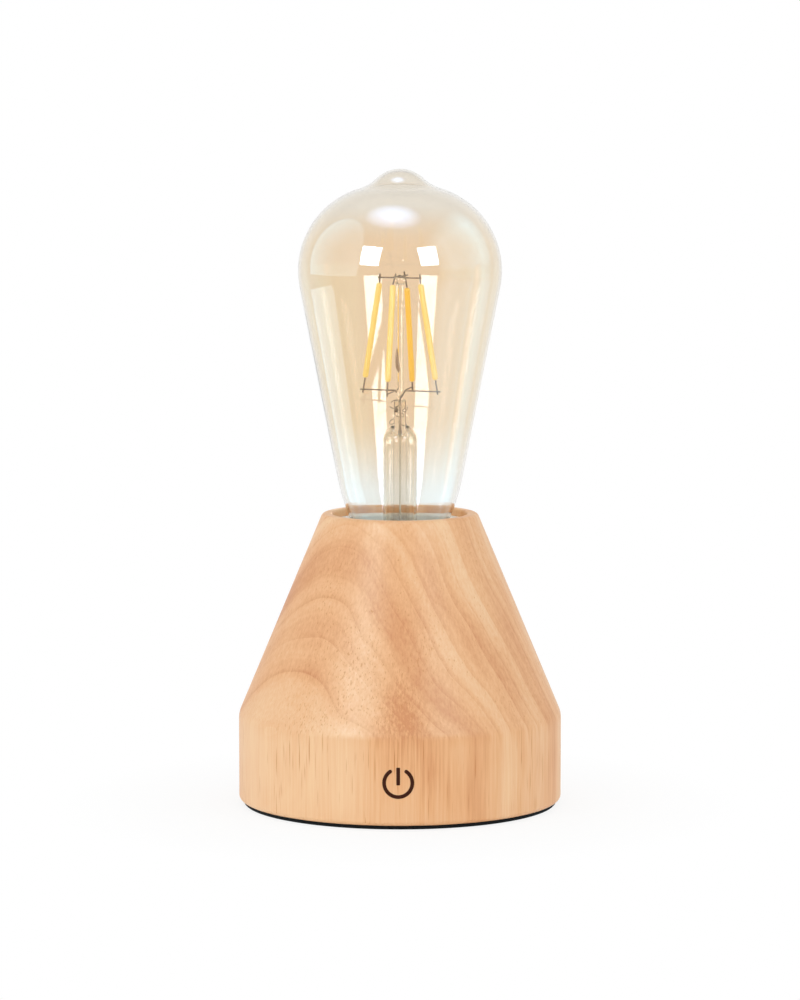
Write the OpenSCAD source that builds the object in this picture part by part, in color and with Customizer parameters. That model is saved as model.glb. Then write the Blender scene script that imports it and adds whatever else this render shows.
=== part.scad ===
// Cordless bare-bulb table lamp: a turned wooden base with a touch switch and three round cells,
// carrying an edison-screw filament bulb. The origin is at the centre of the foot pad's underside,
// +Z is up, and the front, which is touched to switch the lamp, faces -Y. Sizes are in millimetres.

/* [Wooden base] */
// Wood round the cavity bored from below
base_wall = 10; // [8:0.5:14]
// Height of the whole wooden body
wood_h = 91; // [88:0.5:110]
// Height of the straight lower part, up to the crease
cylinder_h = 27.5; // [26:0.5:34]
// Diameter of the top rim
rim_d = 50; // [48:0.5:60]
// Rounding of the rim's outer edge
rim_round = 1.6; // [0.8:0.1:2]
// Rounding of the rim's inner edge
mouth_round = 0.8; // [0.4:0.1:1]
// Rounding of the bottom edge
edge_round = 1.5; // [0.5:0.1:2]
// Radius of the soft crease between the straight part and the cone
crease_round = 8; // [2:0.5:14]
// Depth of the cavity above the wood's underside
cavity_h = 33; // [30:0.5:36]
// Hole through the shelf for the leads
lead_hole_d = 12; // [8:0.5:13]
// Width of the ledge on which the base plate seats
plate_ledge = 5.4; // [5:0.1:6.5]

/* [Touch switch] */
// Height of the touch point above the table
touch_z = 14.7; // [13:0.1:17]
// Diameter of the pocket milled behind it
touch_pocket_d = 16; // [12:0.5:17]
// Wood left in front of the pocket
touch_wall = 2.2; // [1.6:0.1:4]
// Diameter of the copper electrode
electrode_d = 14; // [8:0.5:15]
// Thickness of the electrode
electrode_t = 0.3; // [0.2:0.05:0.6]

/* [Foot pad and base plate] */
// How far the foot pad's edge stands back from the wood's
pad_inset = 1.5; // [1:0.1:4]
// Thickness of the foot pad
pad_t = 1.2; // [0.8:0.1:2]
// Thickness of the base plate
plate_t = 2.4; // [2.2:0.1:3]
// Screws that hold the base plate
plate_screws_n = 4; // [3:1:6]
// Diameter of the screws that hold the plate
plate_screw_d = 2.6; // [2.2:0.1:3]
// Length of the screws that hold the plate
plate_screw_l = 12; // [9:0.5:16]

/* [Cells and their bay] */
// Diameter of a cell
cell_d = 14.2; // [13.6:0.1:14.5]
// Length of a cell without its nub
cell_l = 49.3; // [48.8:0.1:49.5]
// Height of the cell's nub
nub_h = 1.1; // [0.8:0.1:1.4]
// Diameter of the cell's nub
nub_d = 5.2; // [4.2:0.1:5.5]
// Length left in the bay for a pressed spring
spring_room = 6.6; // [5:0.2:8]
// Wall of the bay
bay_wall = 1.5; // [1.2:0.1:1.8]
// Thickness of the battery door
door_t = 1.8; // [1.5:0.1:2]
// Diameter of the two pegs that the door hangs on
peg_d = 1.4; // [1.2:0.1:1.6]
// Contact plate thickness
contact_t = 0.4; // [0.3:0.05:0.5]
// Wire of the cell springs
spring_wire = 0.8; // [0.6:0.1:1]
// Turns of a cell spring
spring_turns = 4; // [3:1:5]

/* [Control board] */
// Length of the board
board_l = 34; // [30:0.5:44]
// Width of the board
board_w = 28; // [26:0.5:36]
// Thickness of the board
board_t = 1.6; // [1:0.1:2]
// Height of the bosses that carry it
boss_h = 3; // [2:0.5:5]
// Length of the touch chip on the board
chip_l = 5; // [4:0.5:6]
// Diameter of the insulated leads
lead_d = 1.5; // [1:0.1:1.8]

/* [Lampholder] */
// Height of the lampholder, flange included
holder_h = 43.8; // [42:0.1:46]
// Diameter of its white flange
flange_d = 41.8; // [41:0.1:44]
// Thickness of the flange
flange_t = 2.5; // [1.5:0.1:3.5]
// How deep the flange lies below the rim
flange_drop = 2.2; // [1.5:0.1:4]
// Wall of the white shroud
shroud_wall = 1.8; // [1.4:0.1:2]
// Height of the insert that carries the contacts
insert_h = 34; // [30:0.5:35]
// Thickness of the insert's floor
insert_floor = 4; // [3.5:0.1:5]
// Height of the centre contact above that floor
contact_rise = 6.7; // [6:0.1:8]
// Wall of the metal screw shell
shell_t = 0.4; // [0.3:0.05:0.6]
// Length of the metal screw shell
shell_l = 20; // [16:0.5:21]

/* [Bulb] */
// Largest diameter of the glass
glass_d = 64; // [60:0.5:68]
// Length from the contact tip to the top of the glass
bulb_l = 143.5; // [138:0.5:150]
// Height of the widest point above the contact tip
belly_z = 111.6; // [108:0.2:114]
// Radius of the shoulder's curve
shoulder_r = 26.9; // [26:0.1:28]
// Radius of the dome on top
dome_r = 10.5; // [9:0.1:11]
// Radius of the hollow round that dome
dome_fillet_r = 12; // [8:0.5:16]
// Angle of the taper below the shoulder
taper = 11.12; // [9:0.02:12]
// Height above the contact tip where the neck begins to curve in
neck_bend_z = 46; // [44:0.5:50]
// Radius of that curve
neck_bend_r = 60; // [55:1:70]
// Diameter of the neck inside the cap
neck_d = 24.4; // [23.4:0.1:24.8]
// Thickness of the glass
glass_t = 0.8; // [0.6:0.05:1.2]

/* [Stem and filaments] */
// Diameter of the stem tube
stem_d = 10.6; // [9.6:0.1:11.6]
// Height of the stem's press above the contact tip
press_z = 60; // [58:0.5:62]
// Height of the press
press_h = 10.8; // [9:0.2:12]
// Thickness of the press
press_t = 3.8; // [3.2:0.1:4.4]
// Diameter of the exhaust tube
exhaust_d = 6; // [5:0.1:6.4]
// Diameter of the glass support rod
rod_d = 2.2; // [1.6:0.1:2.4]
// Height of the upper wires above the contact tip
top_wire_z = 109.4; // [108.5:0.1:112]
// Height of the lower wires above the contact tip
low_wire_z = 74; // [73:0.1:75]
// Diameter of the bare wires
wire_d = 0.45; // [0.3:0.05:0.6]
// Lit length of a filament
filament_l = 30.3; // [28:0.1:31]
// Diameter of a filament
filament_d = 1.8; // [1.2:0.1:2.2]
// Radius of the circle of the filaments' lower ends
filament_low_r = 11.7; // [10:0.1:13]
// Radius of the circle of their upper ends
filament_top_r = 6.8; // [5.5:0.1:9]
// Turn of the first filament from the lamp's right-hand side
filament_turn = -19; // [-40:1:40]

/* [Screw cap] */
// Diameter of the screw cap
cap_d = 26.4; // [26:0.05:26.45]
// Height of the cap with its contact
cap_h = 27; // [26.5:0.1:27.5]
// Depth of the cement between the cap and the neck
cement_l = 7; // [5:0.5:9]
// Sheet of the cap
cap_t = 0.3; // [0.2:0.05:0.4]
// Height of the black insulator's sheet-metal edge above the contact tip
cap_base_z = 4.6; // [4:0.1:5.2]
// Diameter of the contact at the tip
tip_d = 9.6; // [9:0.1:10.4]

/* [Clearances] */
// Between pieces of one assembly that seat on each other
seat = 0.05; // [0.02:0.01:0.08]
// Between the corners of the bay's frame and the cavity
cavity_gap = 0.6; // [0.4:0.1:2]
// Round the lampholder and the base plate in the wood
wood_gap = 0.2; // [0.1:0.05:0.3]
// Between the cap and the screw shell, on the radius
thread_gap = 0.2; // [0.15:0.01:0.3]
// Round the battery door
door_gap = 0.3; // [0.2:0.05:0.4]
// Round a cell in its bay
cell_gap = 0.5; // [0.3:0.05:0.6]

/* [Hidden] */
$fn = 72;

// Heights of the main seats
wood_z = pad_t;
wood_top = wood_z + wood_h;
plate_top = wood_z + plate_t;
cavity_top = wood_z + cavity_h;
flange_top = wood_top - flange_drop;
holder_z = flange_top - holder_h;
tip_z = holder_z + insert_floor + contact_rise + seat;

// Cell bay and door: the door lies a little above the pad's underside
door_z = wood_z + door_gap;
door_top = door_z + door_t;
door_axis_z = door_z + door_t / 2;
cell_z = door_top + cell_gap + cell_d / 2;
bay_top = cell_z + cell_d / 2 + cell_gap;
tray_top = bay_top + bay_wall;
cell_pitch = cell_d + cell_gap;
bay_l = cell_l + nub_h + spring_room;
bay_w = 3 * cell_pitch + cell_gap;
recess_l = bay_l + 2 * bay_wall;
recess_w = bay_w + 2 * bay_wall;
door_l = recess_l - 2 * door_gap;
door_w = recess_w - 2 * door_gap;
frame_wall = 1.5;
frame_top = door_top + 2.6;
frame_corner = 3;
recess_corner = 1;
peg_r = peg_d / 2;
peg_l = 1;
door_axis_x = -door_l / 2 + door_t / 2;
latch_w = 12;
latch_h = 1.6;
latch_t = 0.8;
contact_x = bay_l / 2 - seat;
contact_w = 9.5;
contact_h = 10;
tag_w = 3;
tag_h = tray_top + 1.3;
cell_signs = [1, -1, 1];

// Wooden base: the cavity just takes the frame of the bay
cavity_d = 2 * (norm([recess_l / 2 + frame_wall, recess_w / 2 + frame_wall]) + cavity_gap);
base_d = cavity_d + 2 * base_wall;
pad_d = base_d - 2 * pad_inset;
plate_r = cavity_d / 2 + plate_ledge;
cone_angle = atan((base_d - rim_d) / 2 / (wood_h - cylinder_h));
pocket_face = base_d / 2 - touch_wall;

// Control board
board_z = tray_top + boss_h;
board_top = board_z + board_t;
lead_end_z = board_top + 3 * seat;
board_inset = 3;
board_screw_d = 2;
board_places = [for (s = [-1, 1]) [s * (board_l / 2 - board_inset), -s * (board_w / 2 - board_inset)]];

// Lampholder
cap_r = cap_d / 2;
shell_in = cap_r + thread_gap;
shell_out = shell_in + shell_t;
shell_lip = 1.6;
chamber_r = shell_in - shell_lip / 2;
flange_lip = 1.8;
shroud_out = flange_d / 2 - flange_lip;
shroud_in = shroud_out - shroud_wall;
insert_r = shroud_in - seat;
shell_z = holder_z + insert_h - shell_l;
floor_z = holder_z + insert_floor;
strip_t = 0.5;
terminal_x = 7.6;
terminal_d = 2.6;
terminal_head_d = 5;
holder_screw_y = 8.6;
holder_screw_d = 3;
holder_screw_l = 14;

// Bulb, measured above the tip of its contact
neck_r = neck_d / 2;
stem_r = stem_d / 2;
stem_t = 0.8;
neck_end_z = cap_h - cement_l;
press_w = stem_d - 1;
press_top = press_z + press_h;
wire_r = wire_d / 2;
lead_y = exhaust_d / 2 + (stem_r - stem_t - exhaust_d / 2) / 2;
exhaust_end_z = 13;
tip_t = 1.6;
rivet_r = 1.8;
rivet_top = 3.2;
cap_lip = 1.9;
resistor_x = -5.5;
resistor_top = cap_base_z + 8.6;
pin_r = 1.1 * wire_r;
filament_slips = [0, -1.7, 0.2, 0];
filament_lean = asin((filament_low_r - filament_top_r) / filament_l);
filament_low_z = top_wire_z - 1.9 - filament_l * cos(filament_lean);

// Points along an arc round c, from angle a0 to angle a1
function arc(c, r, a0, a1, n) =
    [for (i = [0:n]) let (a = a0 + (a1 - a0) * i / n) c + r * [cos(a), sin(a)]];
function reversed(p) = [for (i = [len(p) - 1:-1:0]) p[i]];
function angle_of(v) = atan2(v[1], v[0]);
function unit(v) = v / norm(v);
function polar(r, a, z) = [r * cos(a), r * sin(a), z];

// A smooth curve through the points p, with n steps between neighbours
function smooth(p, n) = concat(
    [for (i = [0:len(p) - 2]) for (k = [0:n - 1])
        between(p[max(i - 1, 0)], p[i], p[i + 1], p[min(i + 2, len(p) - 1)], k / n)],
    [p[len(p) - 1]]);
function between(a, b, c, d, t) =
    (2 * b + (c - a) * t + (2 * a - 5 * b + 4 * c - d) * t * t + (3 * b - a - 3 * c + d) * t * t * t) / 2;

// Directions across a path, carried from point to point without twist
function heading(p, i) = unit(p[min(i + 1, len(p) - 1)] - p[max(i - 1, 0)]);
function across(p, i, last) = i == len(p) ? [] :
    let (t = heading(p, i), s = unit(last - (last * t) * t)) concat([s], across(p, i + 1, s));

// A round wire along the points p
module wire_along(p, r, sides = 8) {
    t0 = heading(p, 0);
    first = unit(cross(t0, abs(t0[2]) < 0.9 ? [0, 0, 1] : [1, 0, 0]));
    s = across(p, 0, first);
    last = (len(p) - 1) * sides;
    rings = [for (i = [0:len(p) - 1]) for (k = [0:sides - 1])
        let (a = 360 * k / sides) p[i] + r * (cos(a) * s[i] + sin(a) * cross(heading(p, i), s[i]))];
    walls = [for (i = [0:len(p) - 2]) for (k = [0:sides - 1])
        let (a = i * sides + k, b = i * sides + (k + 1) % sides)
        each [[a, a + sides, b + sides], [a, b + sides, b]]];
    ends = [[for (k = [0:sides - 1]) k], [for (k = [sides - 1:-1:0]) last + k]];
    polyhedron(points = rings, faces = concat(walls, ends));
}

// A straight round bar from a to b
module bar(a, b, r) {
    v = b - a;
    translate(a) rotate([0, acos(v[2] / norm(v)), atan2(v[1], v[0])]) cylinder(r = r, h = norm(v));
}

// A rectangular plate with rounded corners, centred on the axis
module rounded_plate(l, w, h, r) {
    linear_extrude(h) {
        square([l - 2 * r, w], center = true);
        square([l, w - 2 * r], center = true);
        for (x = [-1, 1], y = [-1, 1]) translate([x * (l / 2 - r), y * (w / 2 - r)]) circle(r);
    }
}

// A screw whose head's top is at the origin, pointing down
module screw(d, l, head_d, head_h, countersunk = false) {
    point_h = d;
    rotate_extrude() polygon([
        [0, 0], [head_d / 2, 0], [countersunk ? d / 2 : head_d / 2, -head_h],
        [d / 2, -head_h], [d / 2, point_h - l], [0, -l]]);
}

module plate_screw_places() {
    for (i = [0:plate_screws_n - 1])
        rotate(45 + 360 * i / plate_screws_n) translate([cavity_d / 2 + plate_ledge / 2, 0]) children();
}

module at_cell(i) {
    translate([0, (i - 1) * cell_pitch, cell_z]) rotate([0, 90 * cell_signs[i], 0]) children();
}

module wood_base() {
    r = base_d / 2;
    rim_r = rim_d / 2;
    flange_r = flange_d / 2 + wood_gap;
    body_r = shroud_out + wood_gap;
    crease_z = wood_z + cylinder_h - crease_round * tan(cone_angle / 2);
    color([0.90, 0.70, 0.50]) difference() {
        rotate_extrude($fn = 120) polygon(concat(
            [[plate_r + wood_gap, wood_z]],
            arc([r - edge_round, wood_z + edge_round], edge_round, -90, 0, 5),
            arc([r - crease_round, crease_z], crease_round, 0, cone_angle, 4),
            arc([rim_r - rim_round, wood_top - rim_round], rim_round, cone_angle, 90, 5),
            arc([flange_r + mouth_round, wood_top - mouth_round], mouth_round, 90, 180, 4),
            [[flange_r, flange_top - flange_t], [body_r, flange_top - flange_t],
             [body_r, holder_z], [lead_hole_d / 2, holder_z], [lead_hole_d / 2, cavity_top],
             [cavity_d / 2, cavity_top], [cavity_d / 2, plate_top + seat],
             [plate_r + wood_gap, plate_top + seat]]));
        translate([0, 0, touch_z]) rotate([90, 0, 0])
            translate([0, 0, cavity_d / 3]) cylinder(d = touch_pocket_d, h = pocket_face - cavity_d / 3);
        plate_screw_places() translate([0, 0, wood_z - 1])
            cylinder(d = plate_screw_d + 2 * seat, h = plate_screw_l + 2);
        for (s = [-1, 1]) translate([0, s * holder_screw_y, floor_z - holder_screw_l])
            cylinder(d = holder_screw_d + 2 * seat, h = holder_screw_l);
    }
}

module foot_pad() {
    color([0.08, 0.08, 0.08]) difference() {
        rotate_extrude($fn = 120) polygon([
            [0, 0], [pad_d / 2 - 0.3, 0], [pad_d / 2, 0.3], [pad_d / 2, pad_t - seat], [0, pad_t - seat]]);
        translate([0, 0, -1])
            rounded_plate(recess_l, recess_w, pad_t + 2, recess_corner);
    }
}

module base_plate() {
    color([0.13, 0.13, 0.13]) difference() {
        union() {
            translate([0, 0, wood_z]) cylinder(r = plate_r, h = plate_t, $fn = 120);
            translate([0, 0, wood_z]) rounded_plate(recess_l + 2 * frame_wall, recess_w + 2 * frame_wall,
                frame_top - wood_z, frame_corner);
            translate([-recess_l / 2, -recess_w / 2, door_top + seat])
                cube([recess_l, recess_w, tray_top - door_top - seat]);
            for (p = board_places) translate([p[0], p[1], tray_top - 1])
                cylinder(d = 2.5 * board_screw_d, h = boss_h + 1 - seat);
        }
        translate([0, 0, wood_z - 1])
            rounded_plate(recess_l, recess_w, door_top + seat + 1 - wood_z, recess_corner);
        difference() {
            translate([-bay_l / 2, -bay_w / 2, door_top - 1]) cube([bay_l, bay_w, bay_top - door_top + 1]);
            for (s = [-1, 1]) difference() {
                translate([s * bay_l / 4 - 0.8, -bay_w / 2 - 1, cell_z]) cube([1.6, bay_w + 2, cell_d]);
                for (i = [0:2]) at_cell(i) cylinder(d = cell_d + cell_gap, h = bay_l, center = true);
            }
        }
        translate([bay_l / 2 - 1, -latch_w / 2 - door_gap, door_top])
            cube([latch_t + 1 + 2 * door_gap, latch_w + 2 * door_gap, latch_h + door_gap]);
        for (s = [-1, 1]) translate([s * (contact_x - contact_t / 2), s * cell_pitch, tray_top])
            cube([contact_t + 4 * seat, tag_w + 4 * seat, 3 * bay_wall], center = true);
        translate([door_axis_x, 0, door_axis_z]) rotate([90, 0, 0]) {
            cylinder(r = door_t / 2 + door_gap, h = recess_w, center = true);
            cylinder(r = peg_r + seat, h = recess_w + 2 * peg_l, center = true);
        }
        for (p = board_places) translate([p[0], p[1], bay_top + seat])
            cylinder(d = board_screw_d + 2 * seat, h = tray_top - bay_top + boss_h);
        plate_screw_places() translate([0, 0, wood_z]) {
            translate([0, 0, -1]) cylinder(d = plate_screw_d + 2 * wood_gap, h = plate_t + 2);
            translate([0, 0, -0.001]) rotate_extrude() polygon([
                [0, -0.001], [plate_screw_d + seat * 2, -0.001], [plate_screw_d + seat * 2, 0.3],
                [plate_screw_d / 2, 0.3 + plate_screw_d / 2 + seat], [0, 0.3 + plate_screw_d / 2 + seat]]);
        }
    }
}

module plate_screws() {
    color([0.75, 0.75, 0.78]) plate_screw_places() translate([0, 0, wood_z + 0.3]) rotate([180, 0, 0])
        screw(plate_screw_d, plate_screw_l, 2 * plate_screw_d, plate_screw_d / 2, true);
}

module battery_door() {
    free_end = door_l / 2;
    slit = [9, 1];
    slit_y = latch_w / 2 + 1.2;
    grip_d = 0.9;
    grip_pitch = 1.6;
    color([0.15, 0.15, 0.15]) difference() {
        union() {
            translate([door_axis_x, -door_w / 2, door_z]) cube([free_end - door_axis_x, door_w, door_t]);
            translate([door_axis_x, 0, door_axis_z]) rotate([90, 0, 0]) {
                cylinder(d = door_t, h = door_w, center = true);
                cylinder(r = peg_r, h = door_w + 2 * peg_l, center = true);
            }
            translate([bay_l / 2 + door_gap, -latch_w / 2, door_top - 0.5])
                cube([latch_t, latch_w, latch_h + 0.5]);
        }
        for (s = [-1, 1]) translate([free_end - slit[0], s * slit_y - slit[1] / 2, door_z - 1])
            cube([slit[0] + 1, slit[1], door_t + 2]);
        for (i = [0:3]) translate([free_end - 3 - grip_pitch * i, 0, door_z]) rotate([90, 0, 0])
            cylinder(d = grip_d, h = latch_w - 2, center = true, $fn = 24);
    }
}

// One round cell with its nub pointing up and its middle at the origin
module cell() {
    low = -(cell_l + nub_h) / 2;
    high = low + cell_l;
    r = cell_d / 2;
    rotate_extrude() polygon(concat(
        [[0, low + 0.3], [r - 2.4, low + 0.3], [r - 1.8, low]],
        arc([r - 0.8, low + 0.8], 0.8, -90, 0, 4),
        arc([r - 0.8, high - 0.8], 0.8, 0, 90, 4),
        [[r - 1.6, high], [r - 2, high - 0.3], [nub_d / 2, high - 0.3]],
        arc([nub_d / 2 - 0.4, high + nub_h - 0.4], 0.4, 0, 90, 3),
        [[0, high + nub_h]]));
}

// A cell's nub touches one contact plate, and the spring fills what is left at the other end
cell_shift = contact_x - contact_t - seat - (cell_l + nub_h) / 2;
spring_l = bay_l - 2 * seat - 2 * contact_t - cell_l - nub_h - seat;

module battery(i) {
    color([0.20, 0.22, 0.25]) at_cell(i) translate([0, 0, cell_shift]) cell();
}

module battery_contacts() {
    color([0.80, 0.81, 0.83]) difference() {
        union() {
            for (s = [-1, 1]) {
                x = s > 0 ? contact_x - contact_t : -contact_x;
                translate([x, min(0, -s * cell_pitch) - contact_w / 2, cell_z - contact_h / 2])
                    cube([contact_t, cell_pitch + contact_w, contact_h]);
                translate([x, s * cell_pitch - contact_w / 2, cell_z - contact_h / 2])
                    cube([contact_t, contact_w, contact_h]);
                translate([x, s * cell_pitch - tag_w / 2, cell_z]) cube([contact_t, tag_w, tag_h - cell_z]);
            }
        }
        for (s = [-1, 1]) translate([s * contact_x, s * cell_pitch, tag_h - 1.2]) rotate([0, 90, 0])
            cylinder(d = 1, h = 4 * contact_t, center = true, $fn = 24);
    }
}

// A conical spring: one closed turn on the contact plate, then turns that narrow towards the cell
module battery_springs() {
    steps = 14;
    wide = contact_w / 2 - spring_wire;
    narrow = wide - 1.6;
    rise = spring_l - spring_wire - 2 * seat;
    color([0.82, 0.83, 0.85]) for (i = [0:2]) at_cell(i)
        translate([0, 0, -(contact_x - contact_t) + seat + spring_wire / 2])
            wire_along([for (k = [0:steps * spring_turns])
                let (u = k / steps / spring_turns) polar(wide + (narrow - wide) * u, 360 * k / steps,
                    rise * max(0, (u * spring_turns - 0.8) / (spring_turns - 0.8)))], spring_wire / 2);
}

module control_board() {
    color([0.10, 0.35, 0.18]) difference() {
        translate([0, 0, board_z]) rounded_plate(board_l, board_w, board_t, 1.5);
        for (p = board_places) translate([p[0], p[1], board_z - 1])
            cylinder(d = board_screw_d + 2 * wood_gap, h = board_t + 2);
    }
}

// Parts soldered to the board: touch chip, switch transistor, capacitor and chip resistors
module board_parts() {
    z = board_top + seat;
    pitch = chip_l / 4;
    chip_w = 0.8 * chip_l;
    chip_y = -board_w / 4;
    leg = [0.4, 0.7, 0.7] * pitch;
    color([0.12, 0.12, 0.12]) {
        translate([-chip_l / 2, chip_y - chip_w / 2, z + 0.15 * pitch]) cube([chip_l, chip_w, 0.3 * chip_l]);
        for (i = [0:3], s = [-1, 1])
            translate([(i - 1.5) * pitch - leg[0] / 2, chip_y + s * (chip_w + leg[1]) / 2 - leg[1] / 2, z])
                cube([leg[0], leg[1], leg[2]]);
        translate([board_l / 6, 0, z]) cube([0.6, 0.32, 0.22] * chip_l);
        translate([-board_l / 4, board_w / 9, z]) cylinder(d = chip_l, h = 1.08 * chip_l);
        for (i = [0:3]) translate([(2.4 * i - 1.6) * pitch, board_w / 6, z]) cube([0.32, 0.16, 0.1] * chip_l);
    }
}

module board_screws() {
    head_h = 0.65 * board_screw_d;
    color([0.75, 0.75, 0.78]) for (p = board_places)
        translate([p[0], p[1], board_top + seat + head_h])
            screw(board_screw_d, head_h + board_t + boss_h, 2 * board_screw_d, head_h);
}

module touch_electrode() {
    color([0.80, 0.48, 0.28]) translate([0, -pocket_face + seat, touch_z]) rotate([-90, 0, 0])
        cylinder(d = electrode_d, h = electrode_t);
}

// A lead leaves the point a along da and comes to the point b from db, bowed upwards in between
module lead(a, da, b, db, bow) {
    c = a + da;
    d = b + db;
    between = [for (t = [0.25, 0.5, 0.75]) c + t * (d - c) + [0, 0, bow * sin(180 * t)]];
    wire_along(concat([a], smooth(concat([c], between, [d]), 3), [b]), lead_d / 2);
}

module touch_lead() {
    color([0.92, 0.92, 0.88]) lead(
        [0, -pocket_face + electrode_t + 2 * seat, touch_z], [0, lead_d, 0],
        [0, lead_d - board_w / 2, lead_end_z], [0, 0, 1.4 * lead_d], 1.2 * lead_d);
}

module battery_lead(s) {
    lead([s * (contact_x - contact_t - seat), s * cell_pitch, tag_h + lead_d / 2], [-s * lead_d, 0, 0],
        [s * (board_l / 2 - 2 * lead_d), s * board_w / 3.5, lead_end_z], [0, 0, 1.4 * lead_d], 1.2 * lead_d);
}

module battery_lead_red() {
    color([0.75, 0.08, 0.06]) battery_lead(1);
}

module battery_lead_black() {
    color([0.07, 0.07, 0.07]) battery_lead(-1);
}

// From the board up through the hole in the wood, to the side of a terminal screw's head
module lamp_lead(s) {
    pad = [chip_l / 2 + 2 * lead_d, -board_w / 3, lead_end_z];
    beside_head = -(terminal_head_d + lead_d) / 2 - seat;
    x = 0.65 * lead_d;
    z = floor_z + lead_d;
    path = [pad + [0, 0, 1.2 * lead_d], [0.7 * pad[0], 0.8 * pad[1], cavity_top - 2 * lead_d],
        [x, -2.4 * lead_d, cavity_top + lead_d], [x, -1.7 * lead_d, holder_z - lead_d],
        [x, -1.6 * lead_d, floor_z + 0.4 * lead_d], [terminal_x / 2, beside_head, z + 0.3 * lead_d],
        [terminal_x - lead_d, beside_head, z]];
    scale([s, 1, 1]) wire_along(concat([pad], smooth(path, 3), [[terminal_x, beside_head, z]]), lead_d / 2);
}

module lamp_lead_red() {
    color([0.75, 0.08, 0.06]) lamp_lead(-1);
}

module lamp_lead_black() {
    color([0.07, 0.07, 0.07]) lamp_lead(1);
}

module holder_shroud() {
    round_r = 0.8;
    color([0.93, 0.93, 0.91]) rotate_extrude($fn = 96) polygon(concat(
        [[shroud_in, holder_z + seat], [shroud_out, holder_z + seat],
         [shroud_out, flange_top - flange_t + seat], [flange_d / 2, flange_top - flange_t + seat]],
        arc([flange_d / 2 - round_r, flange_top - round_r], round_r, 0, 90, 4),
        arc([shroud_in + round_r, flange_top - round_r], round_r, 90, 180, 4)));
}

module holder_insert() {
    top = holder_z + insert_h;
    color([0.90, 0.90, 0.87]) difference() {
        rotate_extrude($fn = 96) polygon([
            [0, holder_z + seat], [insert_r, holder_z + seat], [insert_r, top - 0.6], [insert_r - 0.6, top],
            [shell_out + 0.7, top], [shell_out + seat, top - 0.6], [shell_out + seat, shell_z],
            [chamber_r, shell_z], [chamber_r, floor_z], [0, floor_z]]);
        translate([0, 0, holder_z - 1]) cylinder(d = lead_hole_d - 4, h = insert_floor + 2);
        for (s = [-1, 1]) {
            translate([s * terminal_x, 0, holder_z + 1])
                cylinder(d = terminal_d + 2 * seat, h = insert_floor);
            translate([0, s * holder_screw_y, holder_z - 1])
                cylinder(d = holder_screw_d + 2 * wood_gap, h = insert_floor + 2);
        }
    }
}

module screw_shell() {
    inner = chamber_r - 0.7;
    top = shell_z + shell_l - 0.8;
    color([0.85, 0.82, 0.72]) rotate_extrude($fn = 96) polygon([
        [inner, shell_z + seat], [shell_out, shell_z + seat], [shell_out, top], [shell_in, top],
        [shell_in, shell_z + seat + shell_t], [inner, shell_z + seat + shell_t]]);
}

// A springy strip from a screwed foot up to the middle, where the bulb's tip presses on it
module centre_contact() {
    w = 5;
    top = floor_z + contact_rise - strip_t;
    foot = floor_z + seat;
    end_x = 11;
    bend_x = 4.4;
    crown_x = [1.8, 3];
    path = [[-end_x, foot], [-terminal_x + terminal_d, foot], [-bend_x, foot + 0.4],
            [-crown_x[1], top - 1], [-crown_x[0], top - 0.1], [0, top],
            [crown_x[0], top - 0.1], [crown_x[1], top - 1]];
    outer = [for (i = [0:len(path) - 1]) let (t = heading(path, i)) path[i] + strip_t * [-t[1], t[0]]];
    color([0.80, 0.60, 0.30]) difference() {
        translate([0, w / 2, 0]) rotate([90, 0, 0]) linear_extrude(w) polygon(concat(path, reversed(outer)));
        translate([-terminal_x, 0, foot - 1]) cylinder(d = terminal_d + 2 * wood_gap, h = 3);
    }
}

// The strip that joins the screw shell to its own terminal
module side_contact() {
    w = 4;
    foot = floor_z + seat;
    riser_x = sqrt(pow(chamber_r - seat, 2) - pow(w / 2, 2)) - strip_t;
    color([0.80, 0.60, 0.30]) difference() {
        union() {
            translate([terminal_x - terminal_d, -w / 2, foot])
                cube([riser_x + strip_t - terminal_x + terminal_d, w, strip_t]);
            translate([riser_x, -w / 2, foot]) cube([strip_t, w, shell_z - foot]);
        }
        translate([terminal_x, 0, foot - 1]) cylinder(d = terminal_d + 2 * wood_gap, h = 3);
    }
}

module terminal_screws() {
    head_h = 0.6 * terminal_d;
    slot = [3 * terminal_d, 0.23 * terminal_d, head_h];
    color([0.78, 0.70, 0.45]) for (s = [-1, 1])
        translate([s * terminal_x, 0, floor_z + 2 * seat + strip_t + head_h])
            difference() {
                screw(terminal_d, head_h + strip_t + insert_floor - 1.2, terminal_head_d, head_h);
                cube(slot, center = true);
            }
}

module holder_screws() {
    head_h = 0.65 * holder_screw_d;
    slot = [1.3, 0.27, 0.7] * holder_screw_d;
    color([0.75, 0.75, 0.78]) for (s = [-1, 1])
        translate([0, s * holder_screw_y, floor_z + seat + head_h]) difference() {
            screw(holder_screw_d, holder_screw_l + head_h, 1.9 * holder_screw_d, head_h);
            for (a = [0, 90]) rotate(a) cube(slot, center = true);
        }
}

// Everything of the bulb is drawn above the tip of its contact and lifted to its seat
module on_tip() {
    translate([0, 0, tip_z]) children();
}

module cap_contact() {
    round_r = 1.2;
    color([0.72, 0.72, 0.70]) on_tip() rotate_extrude() polygon(concat(
        [[0, 0], [tip_d / 2 - 2.6, 0]], arc([tip_d / 2 - round_r, round_r], round_r, -70, 0, 5),
        [[tip_d / 2, tip_t], [rivet_r, tip_t], [rivet_r, rivet_top], [0, rivet_top]]));
}

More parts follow.
